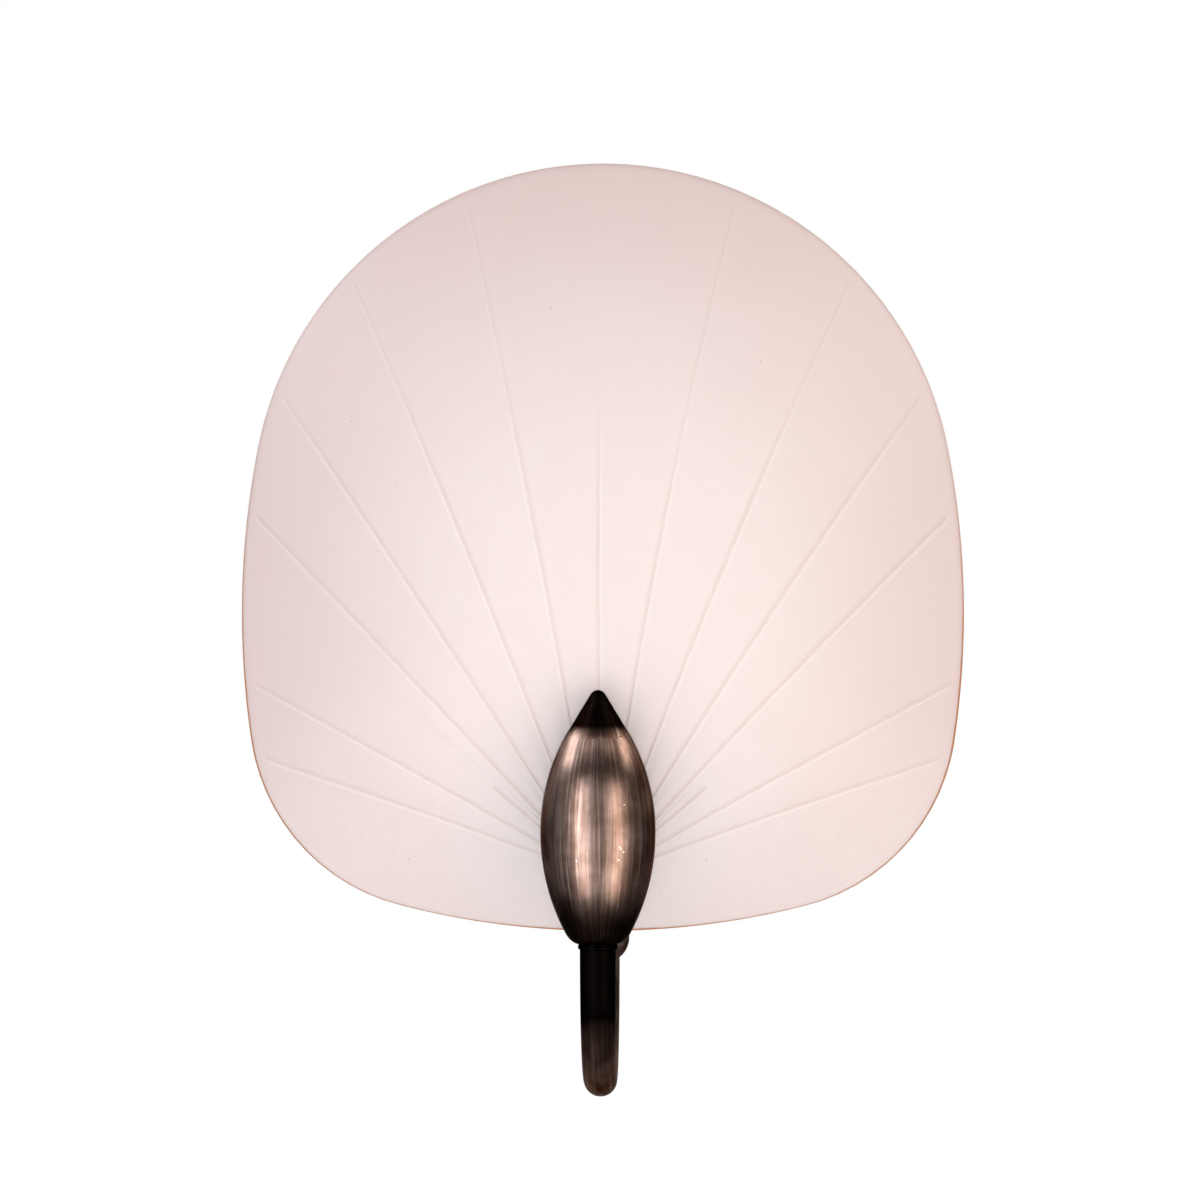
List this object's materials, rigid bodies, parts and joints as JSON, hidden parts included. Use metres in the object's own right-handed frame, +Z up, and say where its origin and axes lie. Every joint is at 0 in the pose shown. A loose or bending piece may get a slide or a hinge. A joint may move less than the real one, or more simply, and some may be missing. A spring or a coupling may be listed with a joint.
{
  "type": "shell wall sconce",
  "caption": "Wall sconce: a domed, grooved shell shade on a bronze pod, carried by a U-shaped tube from a round wall cover.",
  "frame": {"origin": "middle of the wall bracket's rear face, on the wall", "axes": "+Z up along the shell's height, +Y into the wall, +X to the right as seen from the front"},
  "size_m": [0.304, 0.1324, 0.3898],
  "materials": {
    "bronze": "dark oxidised brushed bronze",
    "glaze": "satin pale glaze",
    "steel": "zinc plated",
    "brass": "bright",
    "rubber": "black",
    "ceramic": "white porcelain",
    "glass": "frosted",
    "clear_glass": "clear",
    "black_plastic": "black button",
    "filament": "yellow coating",
    "white_plastic": "white",
    "brown_wire": "brown insulation",
    "blue_wire": "blue insulation",
    "earth_wire": "green and yellow insulation"
  },
  "bodies": {
    "lamp": {"shell_shade": "glaze", "pod_body": "bronze", "pod_tip": "bronze", "neck_collar": "bronze", "arm_tube": "bronze", "arm_socket": "bronze", "front_nipple": "steel", "rear_nipple": "steel", "rear_lock_nut": "steel", "shade_stud": "steel", "spacer_ring": "bronze", "front_washer": "rubber", "rear_washer": "rubber", "holder_bracket": "steel", "steel_washer": "steel", "shade_nut": "steel", "holder_body": "ceramic", "holder_thread": "brass", "holder_contact": "brass", "holder_screws": "steel", "holder_terminal_screws": "steel", "wall_canopy": "bronze", "wall_bracket": "steel", "canopy_screws": "bronze", "terminal_block": "white_plastic", "terminal_inserts": "brass", "terminal_screws": "steel", "terminal_block_screw": "steel", "live_wire": "brown_wire", "neutral_wire": "blue_wire", "earth_wire": "earth_wire", "earth_screw": "brass"},
    "bulb": {"bulb_glass": "glass", "bulb_cap": "steel", "bulb_tip": "black_plastic", "bulb_stem": "clear_glass", "bulb_filaments": "filament"}
  },
  "joints": [
    {"name": "bulb_removal", "type": "slide", "parent": "lamp", "child": "bulb", "axis": [0, 0, 1], "range_m": [0, 0.045]}
  ]
}
